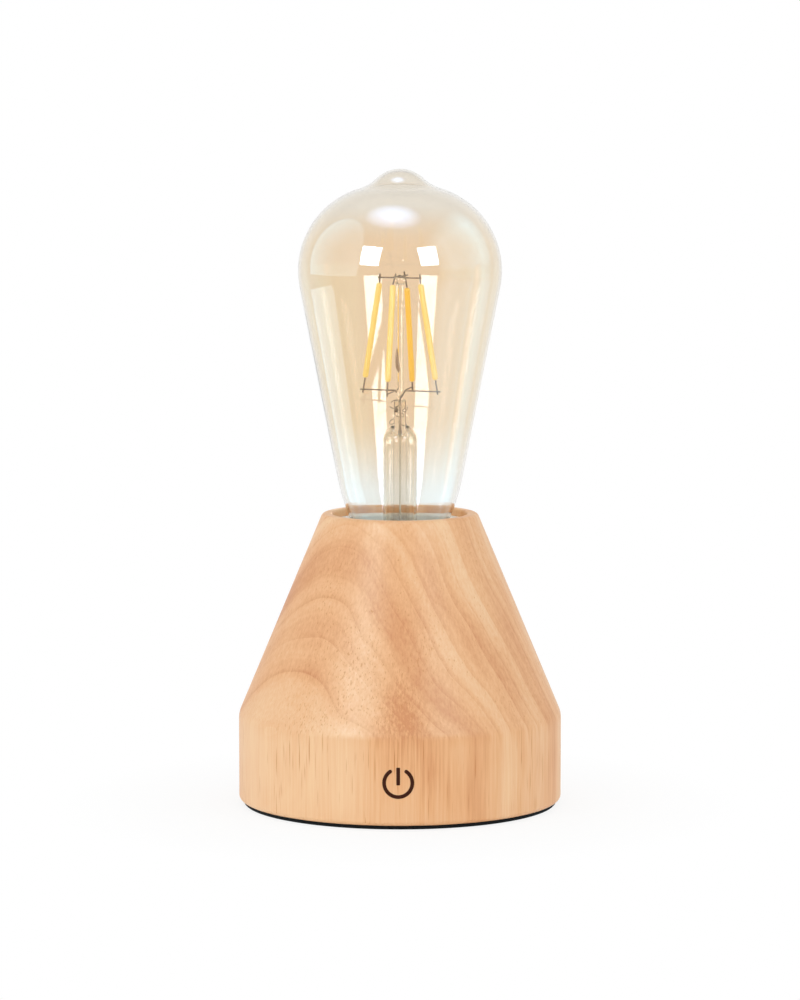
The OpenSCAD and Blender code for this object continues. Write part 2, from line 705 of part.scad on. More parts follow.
module cap_insulator() {
    lip_r = cap_r - cap_lip;
    inner = cap_r - cap_t - 0.6;
    well_r = 4;
    z = cap_base_z;
    color([0.06, 0.06, 0.07]) on_tip() rotate_extrude() polygon([
        [tip_d / 2 + 0.6, 1.3], [lip_r - 0.4, z - 1.2], [lip_r, z - 0.5], [lip_r, z + cap_t + seat],
        [inner, z + cap_t + seat], [inner, z + 3], [well_r, z + 3], [well_r, rivet_top + 3 * seat],
        [rivet_r + seat, rivet_top + 3 * seat], [rivet_r + seat, tip_t + seat],
        [tip_d / 2 + 0.2, tip_t + seat]]);
}

module bulb_cap() {
    lip_r = cap_r - cap_lip + seat;
    inner = cap_r - cap_t;
    round_r = 1;
    color([0.83, 0.83, 0.80]) on_tip() rotate_extrude($fn = 96) polygon(concat(
        [[lip_r, cap_base_z]], arc([cap_r - round_r, cap_base_z + round_r], round_r, -90, 0, 5),
        [[cap_r, cap_h], [inner, cap_h]],
        arc([cap_r - round_r, cap_base_z + round_r], round_r - cap_t, 0, -90, 5),
        [[lip_r, cap_base_z + cap_t]]));
}

module cap_cement() {
    color([0.88, 0.86, 0.80]) on_tip() rotate_extrude($fn = 96) polygon([
        [neck_r + seat, neck_end_z], [cap_r - cap_t - seat, neck_end_z],
        [cap_r - cap_t - seat, cap_h - 0.3], [neck_r + seat, cap_h - 0.6]]);
}

// The series resistor in the cap, between the front lead wire and the tip
module cap_resistor() {
    body_z = [resistor_top - 5, resistor_top];
    x = resistor_x;
    r = 1.15;
    elbow = [x + 2.5, 0, cap_base_z + 3.3];
    color([0.75, 0.66, 0.50]) on_tip() {
        translate([x, 0, 0]) rotate_extrude() polygon([
            [0, body_z[0]], [r, body_z[0]], [r, body_z[0] + 1.2], [r - 0.2, body_z[0] + 1.5],
            [r - 0.2, body_z[1] - 1.5], [r, body_z[1] - 1.2], [r, body_z[1]], [0, body_z[1]]]);
        bar([x, 0, body_z[0] + 0.5], elbow, wire_r);
        bar(elbow, [0, 0, rivet_top + wire_r + 2 * seat], wire_r);
    }
}

// The glass outline, t inside the outer face, from the top on the axis down to the neck's end
function glass_outline(t) =
    let (
        dome_c = [0, bulb_l - dome_r],
        shoulder_c = [glass_d / 2 - shoulder_r, belly_z],
        gap = shoulder_c - dome_c,
        to_dome = dome_r + dome_fillet_r,
        to_shoulder = shoulder_r + dome_fillet_r,
        along = (pow(norm(gap), 2) + pow(to_dome, 2) - pow(to_shoulder, 2)) / (2 * norm(gap)),
        up = sqrt(pow(to_dome, 2) - pow(along, 2)),
        fillet_c = dome_c + along * unit(gap) + up * unit([-gap[1], gap[0]]),
        dome_a = angle_of(fillet_c - dome_c),
        shoulder_a = angle_of(fillet_c - shoulder_c),
        taper_start = shoulder_c + shoulder_r * [cos(taper), -sin(taper)],
        bend = taper_start - (taper_start[1] - neck_bend_z) * [tan(taper), 1],
        bend_c = bend - neck_bend_r * [cos(taper), -sin(taper)],
        neck_a = acos((neck_r - t - bend_c[0]) / (neck_bend_r - t))
    )
    concat(
        arc(dome_c, dome_r - t, 90, dome_a, 6),
        arc(fillet_c, dome_fillet_r + t, dome_a - 180, shoulder_a - 180, 4),
        arc(shoulder_c, shoulder_r - t, shoulder_a, -taper, 20),
        arc(bend_c, neck_bend_r - t, -taper, -neck_a, 8),
        [[neck_r - t, neck_end_z]]);

module bulb_glass() {
    color([0.93, 0.80, 0.62, 0.35]) on_tip() rotate_extrude($fn = 120)
        polygon(concat(glass_outline(0), reversed(glass_outline(glass_t))));
}

// The stem: a flare sealed into the neck, a tube, and a flat press that grips the lead wires
module bulb_stem() {
    flare_r = neck_r - glass_t - seat;
    bend = flare_r - stem_r;
    roof_z = press_z - 0.33 * stem_r;
    roof_a = 58;
    inner = stem_r - stem_t;
    color([0.88, 0.92, 0.90, 0.4]) on_tip() difference() {
        union() {
            rotate_extrude($fn = 64) polygon(concat(
                arc([stem_r + bend, neck_end_z + bend], bend, -90, -180, 6),
                arc([0, roof_z], stem_r, 0, roof_a, 6),
                arc([0, roof_z - stem_t], inner, roof_a, 0, 6),
                arc([stem_r + bend, neck_end_z + bend], bend + stem_t, -180, -90, 6)));
            translate([0, 0, press_z]) linear_extrude(press_h) {
                square([press_t, press_w - press_t], center = true);
                for (s = [-1, 1]) translate([0, s * (press_w - press_t) / 2]) circle(d = press_t);
            }
        }
        for (s = [-1, 1]) translate([0, s * lead_y, press_z - 3])
            cylinder(r = wire_r + seat, h = press_h + 4);
        translate([0, 0, press_top - 2]) cylinder(r = rod_d / 2 + seat, h = 3);
    }
}

module exhaust_tube() {
    r = exhaust_d / 2;
    t = 0.7;
    color([0.88, 0.92, 0.90, 0.4]) on_tip() rotate_extrude($fn = 48) polygon(concat(
        arc([0, exhaust_end_z + r], r, -90, 0, 6), [[r, press_z - seat], [r - t, press_z - seat]],
        arc([0, exhaust_end_z + r], r - t, 0, -90, 6)));
}

// The rod, and the glass bead melted round the upper wires at its top
module support_rod() {
    bead_r = 1.7;
    color([0.88, 0.92, 0.90, 0.4]) on_tip() difference() {
        union() {
            translate([0, 0, press_top - 2 + seat]) cylinder(d = rod_d, h = top_wire_z - press_top + 1);
            translate([0, 0, top_wire_z - 0.8]) sphere(r = bead_r, $fn = 48);
        }
        for (i = [0:1]) translate([0, 0, top_wire_z + i * wire_d])
            rotate([90, 0, filament_turn + 90 * i - 90])
                cylinder(r = wire_r + seat, h = 4 * bead_r, center = true, $fn = 24);
    }
}

function filament_angle(i) = filament_turn + 90 * i;
// Ends of a filament's lit part, and the points where its pins are welded to the wires
function filament_low(i) = polar(filament_low_r, filament_angle(i), filament_low_z + filament_slips[i]);
function filament_top(i) = filament_low(i)
    + filament_l * [-sin(filament_lean) * cos(filament_angle(i)),
                    -sin(filament_lean) * sin(filament_angle(i)), cos(filament_lean)];
function on_line(i, z) = let (a = filament_low(i), v = filament_top(i) - a) a + v * (z - a[2]) / v[2];
function weld_low(i) = on_line(i, low_wire_z);
function weld_top(i) = on_line(i, top_wire_z + (i % 2) * wire_d);
// Between the middle of a wire and the middle of the pin welded beside it
function weld_gap() = wire_r + pin_r + seat;

// A lead wire through the stem, then a bar to the lower ends of two neighbouring filaments
module lead_wire(s, first, second, tail) {
    kink = [s * 1.6, -s * 1, low_wire_z];
    outer = weld_low(first) + weld_gap() * [sin(filament_angle(first)), -cos(filament_angle(first)), 0];
    inner = weld_low(second) - weld_gap() * [sin(filament_angle(second)), -cos(filament_angle(second)), 0];
    overhang = 1.2;
    on_tip() {
        wire_along(concat([tail[0]], smooth(concat(
            [for (i = [1:len(tail) - 1]) tail[i]],
            [for (z = [neck_end_z + 1, press_z - 20, press_z, press_top]) [0, -s * lead_y, z]],
            [[s * 0.2, -s * (lead_y - 0.3), press_top + 1], kink]), 3)), wire_r);
        wire_along([outer + overhang * unit([outer[0], outer[1], 0]), outer,
            kink + [s * 1.5, -s * 0.2, 0], kink, kink + [0, s * 1.6, 0], inner,
            inner + overhang * unit([inner[0], inner[1], 0])], wire_r);
    }
}

module lead_wire_front() {
    color([0.45, 0.40, 0.34]) lead_wire(1, 0, 1, [
        [resistor_x, 0, resistor_top + seat], [resistor_x, 0, resistor_top + 1],
        [resistor_x + 2, 0.2 - lead_y, resistor_top + 4]]);
}

module lead_wire_back() {
    wall = cap_r - cap_t - seat;
    color([0.45, 0.40, 0.34]) lead_wire(-1, 2, 3, [
        [0, wall, neck_end_z - 3.4], [0, wall - 1, neck_end_z - 3.4], [0, wall - 5, neck_end_z - 2.6]]);
}

// Two crossed bars through the bead join the filaments' upper ends
module top_wires() {
    reach = norm([weld_top(0)[0], weld_top(0)[1]]) + 0.8;
    color([0.45, 0.40, 0.34]) on_tip() for (i = [0:1])
        translate([0, 0, top_wire_z + i * wire_d]) rotate([90, 0, filament_angle(i) - 90])
            cylinder(r = wire_r, h = 2 * reach, center = true, $fn = 24);
}

// The metal ends of the filaments, welded beside the wires
module filament_pins() {
    color([0.55, 0.50, 0.42]) on_tip() for (i = [0:3]) {
        along = unit(filament_top(i) - filament_low(i));
        beside = weld_top(i) - weld_gap() * [sin(filament_angle(i)), -cos(filament_angle(i)), 0];
        start = filament_top(i) + 2 * seat * along;
        bar(start, beside + 1.2 * unit(beside - start), pin_r);
        bar(filament_low(i) - 2 * seat * along, weld_low(i) - along, pin_r);
    }
}

module filament(i) {
    a = filament_low(i);
    v = filament_top(i) - a;
    r = filament_d / 2;
    color([0.98, 0.78, 0.25]) on_tip() translate(a) rotate([0, acos(v[2] / norm(v)), atan2(v[1], v[0])])
        rotate_extrude($fn = 32) polygon(concat(
            arc([r - 0.7, 0.7], 0.7, -90, 0, 3), arc([r - 0.7, filament_l - 0.7], 0.7, 0, 90, 3),
            [[0, filament_l], [0, 0]]));
}

wood_base();
foot_pad();
base_plate();
plate_screws();
battery_door();
for (i = [0:2]) battery(i);
battery_contacts();
battery_springs();
control_board();
board_parts();
board_screws();
touch_electrode();
touch_lead();
battery_lead_red();
battery_lead_black();
lamp_lead_red();
lamp_lead_black();
holder_shroud();
holder_insert();
screw_shell();
centre_contact();
side_contact();
terminal_screws();
holder_screws();
bulb_cap();
cap_insulator();
cap_contact();
cap_cement();
cap_resistor();
bulb_glass();
bulb_stem();
exhaust_tube();
support_rod();
lead_wire_front();
lead_wire_back();
top_wires();
filament_pins();
for (i = [0:3]) filament(i);
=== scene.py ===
from math import acos, atan2, cos, degrees, pi, radians, sin, sqrt, tan

import bmesh
import bpy
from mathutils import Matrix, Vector


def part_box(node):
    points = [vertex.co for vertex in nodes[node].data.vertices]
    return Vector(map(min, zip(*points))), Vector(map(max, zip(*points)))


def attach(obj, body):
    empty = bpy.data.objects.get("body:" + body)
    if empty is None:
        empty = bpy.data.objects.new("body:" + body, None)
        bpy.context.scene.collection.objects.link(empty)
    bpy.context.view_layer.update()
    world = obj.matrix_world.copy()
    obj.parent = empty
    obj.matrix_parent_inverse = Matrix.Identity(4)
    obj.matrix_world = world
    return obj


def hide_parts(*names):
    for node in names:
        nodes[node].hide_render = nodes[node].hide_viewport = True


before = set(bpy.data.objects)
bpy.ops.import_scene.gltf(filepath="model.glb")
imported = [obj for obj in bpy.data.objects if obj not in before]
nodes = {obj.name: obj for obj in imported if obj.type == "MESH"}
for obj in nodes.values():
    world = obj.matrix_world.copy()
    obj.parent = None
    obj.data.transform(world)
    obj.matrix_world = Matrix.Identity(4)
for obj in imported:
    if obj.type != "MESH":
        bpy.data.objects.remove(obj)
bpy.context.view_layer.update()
scene = bpy.context.scene
scene.view_settings.view_transform = "Standard"
MM = 0.001

# The base
BASE_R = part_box("wood_base")[1].x / MM
TOUCH_Z = 14.7              # middle of the power sign's ring

# The bulb's outline, in heights above its tip: nub, fillet, ball, straight taper, bend and neck
TIP_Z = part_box("cap_contact")[0].z / MM
BULB_L = 143.5
DOME_R = 10.5               # round top of the nub
FILLET_R = 12.0             # between the nub and the ball
GLASS_D = 64.0
BELLY_Z = 111.6             # where the ball is widest
SHOULDER_R = 26.9           # the ball's flank
TAPER = 11.12               # degrees
BEND_R = 60.0
BEND_Z = 46.0               # where the taper starts to bend into the neck
NECK_D = 24.4
NECK_END_Z = 20.0
GLASS_T = 0.8

# The thread that the bulb is screwed in by
PITCH = 3.629
CREST_Z = TIP_Z + 16.6      # where a crest of the cap's thread passes +Y


# ---------------------------------------------------------------- camera
def aim(obj, eye, target):
    obj.location = Vector(eye) * MM
    obj.rotation_euler = (Vector(target) - Vector(eye)).to_track_quat("-Z", "Y").to_euler()


def add_camera():
    eye, pitch = (0.0, -1350.0, 243.0), radians(6.205)
    cam = bpy.data.objects.new("camera", bpy.data.cameras.new("camera"))
    scene.collection.objects.link(cam)
    aim(cam, eye, (0.0, 0.0, eye[2] + eye[1] * tan(pitch)))
    cam.data.lens, cam.data.sensor_width = 155.0, 36.0
    cam.data.clip_start, cam.data.clip_end = 0.05, 20.0
    scene.camera = cam


# ---------------------------------------------------------------- node trees
class Tree:
    """The node tree of a material or a world, with short ways to add nodes and link them."""

    def __init__(self, name, owner=None):
        self.owner = owner or bpy.data.materials.new(name)
        self.owner.use_nodes = True
        self.tree = self.owner.node_tree
        self.tree.nodes.clear()

    def put(self, node, key, value):
        if isinstance(value, bpy.types.NodeSocket):
            self.tree.links.new(value, node.inputs[key])
        else:
            node.inputs[key].default_value = value

    def add(self, kind, props=None, out=0, **inputs):
        """A node with its properties and inputs, as the output that is asked for or whole for None."""
        node = self.tree.nodes.new("ShaderNode" + kind)
        for key, value in (props or {}).items():
            setattr(node, key, value)
        for key, value in inputs.items():
            self.put(node, key.replace("_", " "), value)
        return node.outputs[out] if out is not None else node

    def math(self, operation, a, b=0.0, clamp=False):
        node = self.tree.nodes.new("ShaderNodeMath")
        node.operation, node.use_clamp = operation, clamp
        self.put(node, 0, a)
        self.put(node, 1, b)
        return node.outputs[0]

    def plus(self, a, b):
        return self.math("ADD", a, b)

    def minus(self, a, b):
        return self.math("SUBTRACT", a, b)

    def times(self, a, b):
        return self.math("MULTIPLY", a, b)

    def swing(self, noise, width):
        """A noise from 0 to 1 as one that swings about 0 and is as wide as given."""
        return self.times(self.minus(noise, 0.5), width)

    def spread(self, value, low, high, to_low=0.0, to_high=1.0):
        """The value's range from low to high as another range, held at its ends."""
        return self.add("MapRange", {"clamp": True}, Value=value, From_Min=low, From_Max=high,
                        To_Min=to_low, To_Max=to_high)

    def vector(self, operation, a, b=(0, 0, 0), out=0):
        node = self.tree.nodes.new("ShaderNodeVectorMath")
        node.operation = operation
        self.put(node, 0, a)
        self.put(node, 1, b)
        return node.outputs[out]

    def part(self, point, axis):
        """One coordinate of a point: 0 for x, 1 for y and 2 for z."""
        return self.add("SeparateXYZ", Vector=point, out=axis)

    def place(self, stretch=(1, 1, 1)):
        """The point on the piece, in millimetres, stretched by three factors."""
        point = self.add("TexCoord", out=3)
        return self.vector("MULTIPLY", point, tuple(s / MM for s in stretch))

    def away(self, stretch, middle):
        """How far the stretched point is from a middle."""
        return self.vector("LENGTH", self.vector("SUBTRACT", self.place(stretch), middle), out=1)

    def noise(self, where, scale, detail=2.0, rough=0.5, out=0):
        return self.add("TexNoise", Vector=where, Scale=scale, Detail=detail, Roughness=rough, out=out)

    def ray(self):
        """What kind of ray looks at the surface, by the names of the Light Path outputs."""
        return self.add("LightPath", out=None).outputs

    def blend(self, factor, a, b):
        node = self.tree.nodes.new("ShaderNodeMix")
        node.data_type = "RGBA"
        self.put(node, 0, factor)
        self.put(node, 6, a)
        self.put(node, 7, b)
        return node.outputs[2]

    def ramp(self, value, stops):
        """A colour that runs through the given positions and colours."""
        node = self.tree.nodes.new("ShaderNodeValToRGB")
        elements = node.color_ramp.elements
        elements[0].position, elements[0].color = stops[0]
        elements[1].position, elements[1].color = stops[-1]
        for position, colour in stops[1:-1]:
            elements.new(position).color = colour
        self.put(node, 0, value)
        return node.outputs[0]

    def relief(self, height, strength, depth):
        """A surface normal that follows a height, with its depth in millimetres."""
        return self.add("Bump", Strength=strength, Distance=depth * MM, Height=height)

    def join(self, factor, a, b):
        node = self.tree.nodes.new("ShaderNodeMixShader")
        self.put(node, 0, factor)
        self.tree.links.new(a, node.inputs[1])
        self.tree.links.new(b, node.inputs[2])
        return node.outputs[0]

    def finish(self, shader, kind="Material"):
        output = self.tree.nodes.new("ShaderNodeOutput" + kind)
        self.tree.links.new(shader, output.inputs[0])
        return self.owner

    def surface(self, **inputs):
        return self.finish(self.add("BsdfPrincipled", **inputs))


def rgb(r, g, b):
    """A display colour from 0 to 255 as the linear colour that a socket takes."""
    def one(c):
        c /= 255.0
        return c / 12.92 if c <= 0.04045 else ((c + 0.055) / 1.055) ** 2.4
    return one(r), one(g), one(b), 1.0


# ---------------------------------------------------------------- turned wood
LOG_MIDDLE = (38.0, 38.0, 0.0)          # the growth rings go round it
DARK_RING_MIDDLE, DARK_RING_R = (20.0, 38.0, 0.0), 68.0
STRAIGHT_Z, CONE_Z = 24.0, 30.0         # the straight part's look gives way to the cone's
DARK_Z = 60.0                           # the dark ring fades from here up
PALER_Z = 72.0                          # and all of the wood grows paler from here up
TOP_Z = 90.0                            # what changes slowly up the cone ends here
PORES_MIDDLE = (-17.0, -36.0, 27.0)     # where pores are denser, in a space that is 0.7 as high
WOOD_TONES = ((0.0, rgb(252, 214, 170)), (0.25, rgb(247, 203, 158)),
              (0.59, rgb(239, 184, 134)), (1.0, rgb(217, 150, 102)))
PORE_COLOUR = rgb(208, 140, 84)
# Darker places on the front: a stretch of space, a middle and a reach in it, and a depth
STAINS = (((1, 1, 0.45), (0.5, -49.0, 14.0), 9.5, 0.42),
          ((1, 1, 0.5), (11.0, -50.0, 9.0), 8.0, 0.22))


def ring_tone(t, ring, z):
    """The growth rings, from the distance to the log's middle: broad and fine bands, and late wood that
    darkens slowly and ends sharply. The late wood is faint on the straight part."""
    along = t.add("CombineXYZ", X=ring, Y=t.times(z, 0.012), Z=0.0)
    broad = t.noise(along, 0.10, 1.0, 0.5)
    fine = t.noise(along, 0.62, 3.0, 0.65)
    patch = t.noise(t.place((1, 1, 0.35)), 0.035, 1.0, 0.5)
    saw = t.math("FRACT", t.plus(t.times(ring, 0.21), t.times(broad, 2.2)))
    late = t.times(t.math("POWER", saw, 4.0), t.spread(patch, 0.35, 0.65, 0.14, 0.30))
    late = t.times(late, t.spread(z, STRAIGHT_Z, CONE_Z, 0.15, 1.0))
    return t.plus(t.plus(t.swing(broad, 1.7), t.swing(fine, 0.5)), late)


def wood_tone(t, z, streaks):
    """How dark the wood is, from 0 to 1: rings, streaks and blotches, one dark ring and the stains."""
    point = t.place()
    warp = t.vector("SUBTRACT", t.noise(point, 0.016, 2.0, 0.55, out=1), (0.5, 0.5, 0.5))
    warp = t.vector("MULTIPLY", warp, (13.0, 13.0, 0.0))
    flat = t.vector("MULTIPLY", t.vector("ADD", point, warp), (1, 1, 0))
    blotch = t.noise(t.place((1, 1, 0.5)), 0.05, 2.0, 0.5)
    tone = ring_tone(t, t.vector("DISTANCE", flat, LOG_MIDDLE, out=1), z)
    tone = t.plus(t.plus(tone, t.swing(streaks, 1.0)), t.swing(blotch, 0.75))
    tone = t.plus(t.times(tone, 0.75), t.spread(z, STRAIGHT_Z + 1.0, CONE_Z, 0.455, 0.54))
    tone = t.plus(tone, t.spread(z, PALER_Z, TOP_Z, 0.0, -0.08))
    ring = t.vector("DISTANCE", flat, DARK_RING_MIDDLE, out=1)
    beside = t.math("ABSOLUTE", t.minus(ring, DARK_RING_R))
    dark_ring = t.times(t.spread(beside, 1.0, 6.0, 0.24, 0.0), t.spread(z, DARK_Z, TOP_Z, 1.0, 0.1))
    tone = t.plus(tone, dark_ring)
    torn = t.spread(streaks, 0.35, 0.65, 0.4, 1.3)
    for stretch, middle, reach, depth in STAINS:
        tone = t.plus(tone, t.times(torn, t.spread(t.away(stretch, middle), 0.0, reach, depth, 0.0)))
    return t.math("ADD", tone, 0.0, clamp=True)


def wood_pores(t, z):
    """Short upright pores, denser round one place on the cone: 1 in a pore and 0 beside it."""
    pores = t.noise(t.place((2.3, 2.3, 0.07)), 1.0, 1.0, 0.5)
    dense = t.swing(t.noise(t.place((1, 1, 0.2)), 0.07, 1.0, 0.5), 0.3)
    cluster = t.spread(t.away((1, 1, 0.7), PORES_MIDDLE), 6.0, 28.0, 0.1, -0.02)
    dense = t.plus(dense, t.times(cluster, t.spread(z, STRAIGHT_Z, CONE_Z + 2.0, 0.2, 1.0)))
    return t.spread(t.plus(pores, dense), 0.68, 0.76)


def wood_material():
    t = Tree("turned_wood")
    z = t.part(t.place(), 2)
    streaks = t.noise(t.place((1.4, 1.4, 0.03)), 1.0, 4.0, 0.7)
    pores = wood_pores(t, z)
    colour = t.ramp(wood_tone(t, z, streaks), WOOD_TONES)
    colour = t.blend(t.times(pores, t.spread(z, STRAIGHT_Z, CONE_Z, 0.85, 0.6)), colour, PORE_COLOUR)
    height = t.minus(t.times(streaks, 0.4), t.times(pores, 0.15))
    rough = t.plus(t.spread(streaks, 0.2, 0.8, 0.34, 0.44), t.times(pores, 0.4))
    return t.surface(Base_Color=colour, Roughness=rough, Normal=t.relief(height, 0.18, 0.1),
                     Specular_IOR_Level=0.13)


# ---------------------------------------------------------------- other materials
def plain_material(name, colour, rough, metal=0.0, grain=0.5, shade=0.12, specular=0.5):
    """A moulded, drawn or stamped surface: fine grain in its colour, roughness and relief."""
    t = Tree(name)
    grained = t.noise(t.place(), grain, 3.0, 0.6)
    clouds = t.noise(t.place(), 0.07, 2.0, 0.5)
    dark = tuple(c * (1 - shade) for c in colour[:3]) + (1.0,)
    base = t.blend(t.spread(clouds, 0.3, 0.7), colour, dark)
    return t.surface(Base_Color=base, Normal=t.relief(grained, 0.3, 0.04), Metallic=metal,
                     Specular_IOR_Level=specular,
                     Roughness=t.spread(grained, 0.3, 0.7, rough * 0.85, min(1.0, rough * 1.15)))


def metal_material(name, colour, rough, grain):
    return plain_material(name, colour, rough, 1.0, grain)


def facing(t, low, high, to_low=0.0, to_high=1.0):
    """to_low where a surface is seen square on, and to_high where it is seen edge on."""
    return t.spread(t.add("LayerWeight", Blend=0.5, out=1), low, high, to_low, to_high)


def glass_material(name, tint, edge, edge_at, side=None, side_at=None, bands=()):
    """Clear glass that lets lamps reach what is behind it. edge is its colour where it is seen edge on: a
    deeper tint for the stem, and for the bulb a paler colour that is a painted reflection of the pale room.
    side is the deeper tint where it is seen slantwise. A band is a tint that takes over from one height to
    another, in millimetres."""
    t = Tree(name)
    colour = t.blend(facing(t, *side_at), tint, side) if side else tint
    # On the bulb the edge colour is a painted reflection of the pale room; on the stem it is a deeper tint.
    colour = t.blend(facing(t, *edge_at), colour, edge)
    for start, end, other in bands:
        height = t.part(t.place(), 2)
        wave = t.swing(t.noise(t.place(), 0.03, 1.0), 9.0)
        reach = t.math("DIVIDE", t.minus(t.plus(height, wave), start), end - start, clamp=True)
        colour = t.blend(reach, colour, other)
    shader = t.add("BsdfPrincipled", Base_Color=colour, Roughness=0.0, IOR=1.5, Transmission_Weight=1.0)
    ray = t.ray()
    through = t.math("MAXIMUM", ray["Is Shadow Ray"], ray["Is Diffuse Ray"])
    clear = t.add("BsdfTransparent", Color=(0.98, 0.955, 0.91, 1))
    return t.finish(t.join(through, shader, clear))


def bulb_glass_material():
    """Amber glass that is paler down its neck and in its crown. Its paler colour at the edge is a painted
    reflection of the pale room.
    """
    # edge: a painted reflection, the pale room mirrored where the glass is seen edge on
    amber, slanted, edge = (0.92, 0.785, 0.63, 1), (0.885, 0.75, 0.585, 1), (0.91, 0.905, 0.85, 1)
    neck = (122.0, 99.0, (0.91, 0.895, 0.86, 1))
    crown = (178.0, 190.0, (0.885, 0.85, 0.785, 1))
    return glass_material("amber_glass", amber, edge, (0.24, 0.66), slanted, (0.04, 0.2), (neck, crown))


def thin_glass_material(name, colour):
    """A thin glass tube inside the bulb: almost unseen square on, darker along its sides."""
    t = Tree(name)
    streak = t.noise(t.place((1, 1, 0.1)), 0.5, 1.0)
    return t.surface(Base_Color=colour, Alpha=facing(t, 0.3, 1.0, 0.02, 0.3),
                     Roughness=t.spread(streak, 0.3, 0.7, 0.05, 0.15))


def lead_material(bright, dull, change_z):
    """Nickel wire above the height change_z, and the paler sealing wire below it."""
    t = Tree("lead_wire")
    place = t.place()
    speck = t.noise(place, 2.0, 3.0, 0.6)
    base = t.blend(t.spread(t.part(place, 2), change_z - 1.0, change_z + 1.0), dull, bright)
    base = t.blend(t.spread(speck, 0.3, 0.7, 0.0, 0.15), base, rgb(60, 50, 40))
    return t.surface(Base_Color=base, Metallic=0.4, Roughness=t.spread(speck, 0.3, 0.7, 0.36, 0.48))


def cell_material(name, way):
    """A battery cell along X, its positive end to the right for a way of 1 and to the left for -1: a
    printed sleeve with a warm band at the positive end, and bare steel past both of its edges."""
    band_x, plus_edge, minus_edge = 13.0, 26.3, -22.0
    t = Tree(name)
    place = t.place()
    x = t.times(t.part(place, 0), way)
    grain = t.noise(place, 1.2, 2.0)
    sleeve = t.blend(t.spread(x, band_x - 0.2, band_x), rgb(46, 50, 56), rgb(198, 140, 78))
    sleeve = t.blend(t.times(t.spread(grain, 0.4, 0.7), 0.12), sleeve, rgb(90, 90, 92))
    bare = t.math("MAXIMUM", t.spread(x, plus_edge - 0.1, plus_edge),
                  t.spread(x, minus_edge + 0.1, minus_edge))
    return t.surface(Base_Color=t.blend(bare, sleeve, rgb(206, 206, 208)), Roughness=0.3,
                     Metallic=t.spread(bare, 0.0, 1.0, 0.3, 1.0), Normal=t.relief(grain, 0.2, 0.03))


def board_material():
    """A green printed board with its copper tracks showing lighter under the mask."""
    t = Tree("solder_mask")
    place = t.place()
    flat = t.vector("MULTIPLY", place, (1, 1, 0))
    cell = t.add("TexVoronoi", {"distance": "MANHATTAN"}, Vector=flat, Scale=0.16)
    slant = t.plus(t.part(place, 0), t.part(place, 1))
    track = t.math("PINGPONG", t.plus(slant, t.times(cell, 3.0)), 1.1)
    track = t.spread(track, 0.18, 0.24, 1.0, 0.0)
    colour = t.blend(t.times(track, 0.6), rgb(18, 84, 44), rgb(70, 146, 82))
    return t.surface(Base_Color=colour, Roughness=0.32, Normal=t.relief(track, 0.3, 0.04))


def filament_material(name, colour):
    """A phosphor-coated filament with a faint painted glow in its own colour, which brightens it though it
    gives no light of its own.
    """
    t = Tree(name)
    dots = t.noise(t.place((1, 1, 0.35)), 2.2, 2.0, 0.6)
    base = t.blend(t.spread(dots, 0.35, 0.75), colour, tuple(c * 0.9 for c in colour[:3]) + (1.0,))
    # The emission is a painted glow that brightens the unlit filament.
    return t.surface(Base_Color=base, Roughness=0.45, Normal=t.relief(dots, 0.25, 0.05),
                     Emission_Color=colour, Emission_Strength=0.22)


def dress(material, *names):
    for name in names:
        slots = nodes[name].data.materials
        slots.clear()
        slots.append(material)


# ---------------------------------------------------------------- mesh helpers
def new_object(name, bm, material, body, replaces=(), smooth=40.0):
    mesh = bpy.data.meshes.new(name)
    bmesh.ops.recalc_face_normals(bm, faces=bm.faces)
    bm.to_mesh(mesh)
    bm.free()
    for face in mesh.polygons:
        face.use_smooth = True
    mesh.set_sharp_from_angle(angle=radians(smooth))
    mesh.materials.append(material)
    obj = bpy.data.objects.new(name, mesh)
    scene.collection.objects.link(obj)
    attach(obj, body)
    if replaces:
        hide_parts(*replaces)
    return obj


def arc(centre, r, a0, a1, n):
    return [(centre[0] + r * cos(radians(a0 + (a1 - a0) * i / n)),
             centre[1] + r * sin(radians(a0 + (a1 - a0) * i / n))) for i in range(n + 1)]


def turns(n):
    """n angles, evenly round the axis."""
    return [2 * pi * k / n for k in range(n)]


def corner(bm, r, a, z):
    """A corner at a radius, an angle round the axis and a height."""
    return bm.verts.new((r * cos(a) * MM, r * sin(a) * MM, z * MM))


def bridge(bm, rings):
    """Faces from each ring to the next one. A ring on the axis is a single corner."""
    for a, b in zip(rings, rings[1:]):
        n = max(len(a), len(b))
        if n == 1:
            continue
        for k in range(n):
            j = (k + 1) % n
            corners = [a[k % len(a)], a[j % len(a)], b[j % len(b)], b[k % len(b)]]
            bm.faces.new(list(dict.fromkeys(corners)))


def lathe(profile, segments):
    """A turned form from a closed outline of (radius, height) points, of which some may lie on the axis."""
    bm = bmesh.new()
    rings = [[corner(bm, r, a, z) for a in turns(segments if r > 0 else 1)] for r, z in profile]
    bridge(bm, rings + rings[:1])
    return bm


def wire(bm, points, r, sides):
    """A round wire through the points, closed by flat ends."""
    points = [Vector(q) for q in points]
    rings, side = [], None
    for i, q in enumerate(points):
        along = (points[min(i + 1, len(points) - 1)] - points[max(i - 1, 0)]).normalized()
        guess = side or (Vector((0, 0, 1)) if abs(along.z) < 0.9 else Vector((1, 0, 0))).cross(along)
        side = (guess - guess.dot(along) * along).normalized()
        up = along.cross(side)
        rings.append([bm.verts.new((q + r * (cos(a) * side + sin(a) * up)) * MM) for a in turns(sides)])
    bridge(bm, rings)
    bm.faces.new(rings[0])
    bm.faces.new(rings[-1])


